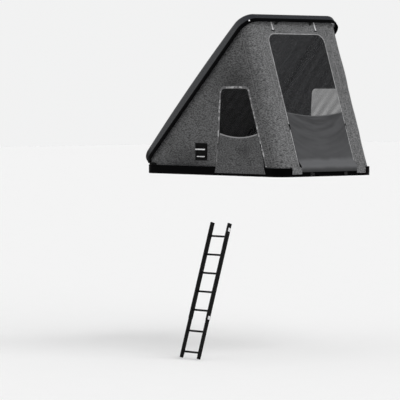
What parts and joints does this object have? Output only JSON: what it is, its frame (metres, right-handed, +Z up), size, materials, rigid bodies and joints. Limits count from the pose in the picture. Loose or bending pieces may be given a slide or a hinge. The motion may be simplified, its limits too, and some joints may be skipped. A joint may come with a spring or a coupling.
{
  "type": "roof top tent",
  "caption": "Wedge-opening hard-shell roof tent with hinged lid, gas struts, fabric walls with zipped mesh doors and lowered flaps, mounting rails and a sliding ladder.",
  "frame": {"origin": "centre of the four bolt slots, on the mounting plane under the base", "axes": "+X towards the door end, +Y towards the right-hand side, +Z up"},
  "size_m": [2.247, 2.1637, 3.5891],
  "materials": {
    "base_black": "satin powder coat",
    "lid_gloss": "gloss moulded shell",
    "trim_black": "satin edge trim",
    "frame_aluminium": "anodised",
    "floor_board": "faced board",
    "wall_canvas": "melange canvas",
    "flap_canvas": "smooth coated canvas",
    "mesh_black": "fine insect mesh",
    "zip_grey": "zip tape and webbing",
    "patch_black": "rubbered patch",
    "light_grey": "moulded, light",
    "bright_steel": "ground steel",
    "strut_black": "painted tube",
    "ladder_black": "black anodised look"
  },
  "bodies": {
    "base": {"base_tray": "base_black", "base_floor": "floor_board", "mounting_rails": "frame_aluminium", "rail_rivets": "frame_aluminium", "fabric_track": "frame_aluminium", "mattress": "wall_canvas", "hinge_base_leaves": "base_black", "hinge_pins": "bright_steel", "strut_base_brackets": "base_black", "latch_plates": "base_black", "left_wall": "wall_canvas", "right_wall": "wall_canvas", "rear_wall": "wall_canvas", "left_window_mesh": "mesh_black", "right_window_mesh": "mesh_black", "rear_door_mesh": "mesh_black", "left_door_flap": "flap_canvas", "right_door_flap": "flap_canvas", "rear_door_flap": "flap_canvas", "left_door_zip": "zip_grey", "right_door_zip": "zip_grey", "rear_door_zip": "zip_grey", "rear_door_ties": "zip_grey", "tie_toggles": "trim_black", "lash_patch": "patch_black", "lash_bars": "light_grey"},
    "lid": {"lid_shell": "lid_gloss", "lid_edge_trim": "trim_black", "lid_seal": "patch_black", "lid_frame": "frame_aluminium", "lid_beam": "frame_aluminium", "lid_liner": "wall_canvas", "lid_corner_bolts": "light_grey", "lid_keepers": "base_black", "hinge_lid_leaves": "base_black", "strut_lid_brackets": "base_black"},
    "left_strut": {"left_strut_cylinder": "strut_black"},
    "right_strut": {"right_strut_cylinder": "strut_black"},
    "left_rod": {"left_strut_rod": "bright_steel"},
    "right_rod": {"right_strut_rod": "bright_steel"},
    "left_latch_arm": {"left_latch": "base_black"},
    "right_latch_arm": {"right_latch": "base_black"},
    "ladder": {"ladder_upper_stiles": "ladder_black", "ladder_upper_rungs": "ladder_black", "ladder_top_plugs": "patch_black", "ladder_locks": "light_grey"},
    "ladder_lower": {"ladder_lower_stiles": "ladder_black", "ladder_lower_rungs": "ladder_black", "ladder_feet": "patch_black"},
    "left_front_slider_body": {"left_front_slider": "trim_black"},
    "left_rear_slider_body": {"left_rear_slider": "trim_black"},
    "right_front_slider_body": {"right_front_slider": "trim_black"},
    "right_rear_slider_body": {"right_rear_slider": "trim_black"},
    "rear_left_slider_body": {"rear_left_slider": "trim_black"},
    "rear_right_slider_body": {"rear_right_slider": "trim_black"}
  },
  "joints": [
    {"name": "lid_hinge", "type": "hinge", "parent": "base", "child": "lid", "pos_m": [-1.1, 0, 0.135], "axis": [0, 1, 0], "range_deg": [0, 43.5], "deforming": ["left_wall", "right_wall", "rear_wall", "left_window_mesh", "right_window_mesh", "rear_door_mesh", "left_door_flap", "right_door_flap", "rear_door_flap", "left_door_zip", "right_door_zip", "rear_door_zip", "rear_door_ties", "tie_toggles", "lash_patch", "lash_bars", "left_front_slider", "left_rear_slider", "right_front_slider", "right_rear_slider", "rear_left_slider", "rear_right_slider"]},
    {"name": "left_strut_swing", "type": "hinge", "parent": "base", "child": "left_strut", "pos_m": [-0.75, -0.646, 0.112], "axis": [0, 1, 0], "range_deg": [0, 62]},
    {"name": "left_rod_slide", "type": "slide", "parent": "left_strut", "child": "left_rod", "axis": [0.4796, 0, 0.8775], "range_m": [-0.149, 0]},
    {"name": "right_strut_swing", "type": "hinge", "parent": "base", "child": "right_strut", "pos_m": [-0.75, 0.646, 0.112], "axis": [0, 1, 0], "range_deg": [0, 62]},
    {"name": "right_rod_slide", "type": "slide", "parent": "right_strut", "child": "right_rod", "axis": [0.4796, 0, 0.8775], "range_m": [-0.149, 0]},
    {"name": "left_latch_turn", "type": "hinge", "parent": "base", "child": "left_latch_arm", "pos_m": [1.112, -0.25, 0.026], "axis": [1, 0, 0], "range_deg": [0, 90]},
    {"name": "right_latch_turn", "type": "hinge", "parent": "base", "child": "right_latch_arm", "pos_m": [1.112, 0.25, 0.026], "axis": [-1, 0, 0], "range_deg": [0, 90]},
    {"name": "left_front_slider_run", "type": "slide", "parent": "base", "child": "left_front_slider_body", "axis": [-0.0652, 0, -0.9979], "range_m": [-0.48, 0.06]},
    {"name": "left_rear_slider_run", "type": "slide", "parent": "base", "child": "left_rear_slider_body", "axis": [0.3249, 0, -0.9457], "range_m": [-0.48, 0.06]},
    {"name": "right_front_slider_run", "type": "slide", "parent": "base", "child": "right_front_slider_body", "axis": [-0.0652, 0, -0.9979], "range_m": [-0.48, 0.06]},
    {"name": "right_rear_slider_run", "type": "slide", "parent": "base", "child": "right_rear_slider_body", "axis": [0.3249, 0, -0.9457], "range_m": [-0.48, 0.06]},
    {"name": "rear_left_slider_run", "type": "slide", "parent": "base", "child": "rear_left_slider_body", "axis": [0.334, 0, -0.9426], "range_m": [-0.85, 0.06]},
    {"name": "rear_right_slider_run", "type": "slide", "parent": "base", "child": "rear_right_slider_body", "axis": [0.334, 0, -0.9426], "range_m": [-0.85, 0.06]},
    {"name": "ladder_stand", "type": "slide", "parent": "base", "child": "ladder", "axis": [0, -1, 0], "range_m": [0, 0.4]},
    {"name": "ladder_extend", "type": "slide", "parent": "ladder", "child": "ladder_lower", "axis": [0, 0.299, 0.9542], "range_m": [0, 0.115]}
  ],
  "couplings": [
    {"joint": "left_strut_swing", "follows": "lid_hinge", "ratio": 1.4221},
    {"joint": "left_rod_slide", "follows": "lid_hinge", "m_per_rad": -0.19478},
    {"joint": "right_strut_swing", "follows": "lid_hinge", "ratio": 1.4221},
    {"joint": "right_rod_slide", "follows": "lid_hinge", "m_per_rad": -0.19478}
  ]
}
